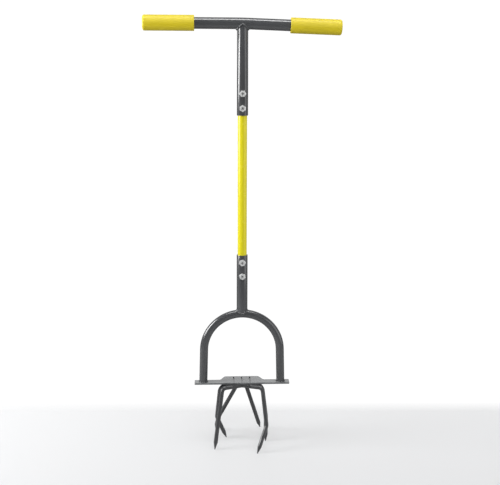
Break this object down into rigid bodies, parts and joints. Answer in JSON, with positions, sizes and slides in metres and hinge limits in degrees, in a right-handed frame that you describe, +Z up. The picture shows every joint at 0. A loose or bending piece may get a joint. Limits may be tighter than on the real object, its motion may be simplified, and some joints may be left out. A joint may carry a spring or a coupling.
{
  "type": "lawn aerator fork",
  "caption": "Two-handed T-handle garden aerator: bolted tube shaft, inverted-U bail, foot plate and bent pointed tines that are twisted into turf.",
  "frame": {"origin": "on the ground directly under the shaft's axis, at the bottom centre of the whole tool's box", "axes": "+X along the handlebar to the right, +Y to the back where the foot plate widens, +Z up along the shaft"},
  "size_m": [0.4344, 0.155, 0.9862],
  "materials": {
    "graphite_paint": "semi-gloss graphite powder coat",
    "plate_paint": "semi-gloss graphite powder coat, lighter where it is trodden",
    "tine_paint": "satin dark powder coat",
    "yellow_paint": "gloss yellow powder coat",
    "grip_vinyl": "soft matte yellow moulded vinyl",
    "zinc_fastener": "bright zinc plating"
  },
  "bodies": {
    "root": {"bail_crown_weld": "graphite_paint", "bail_foot_weld_left": "graphite_paint", "bail_foot_weld_right": "graphite_paint", "bail_tube": "graphite_paint", "foot_plate": "plate_paint", "grip_left": "grip_vinyl", "grip_right": "grip_vinyl", "handlebar_tube": "graphite_paint", "handlebar_weld": "graphite_paint", "lower_shaft_tube": "graphite_paint", "middle_shaft_tube": "yellow_paint", "shaft_bolt_1": "zinc_fastener", "shaft_bolt_2": "zinc_fastener", "shaft_bolt_3": "zinc_fastener", "shaft_bolt_4": "zinc_fastener", "shaft_nut_1": "zinc_fastener", "shaft_nut_2": "zinc_fastener", "shaft_nut_3": "zinc_fastener", "shaft_nut_4": "zinc_fastener", "tine_rod_front": "tine_paint", "tine_rod_middle": "tine_paint", "tine_rod_rear": "tine_paint", "tine_weld_front": "tine_paint", "tine_weld_middle": "tine_paint", "tine_weld_rear": "tine_paint", "upper_shaft_tube": "graphite_paint"}
  },
  "joints": []
}
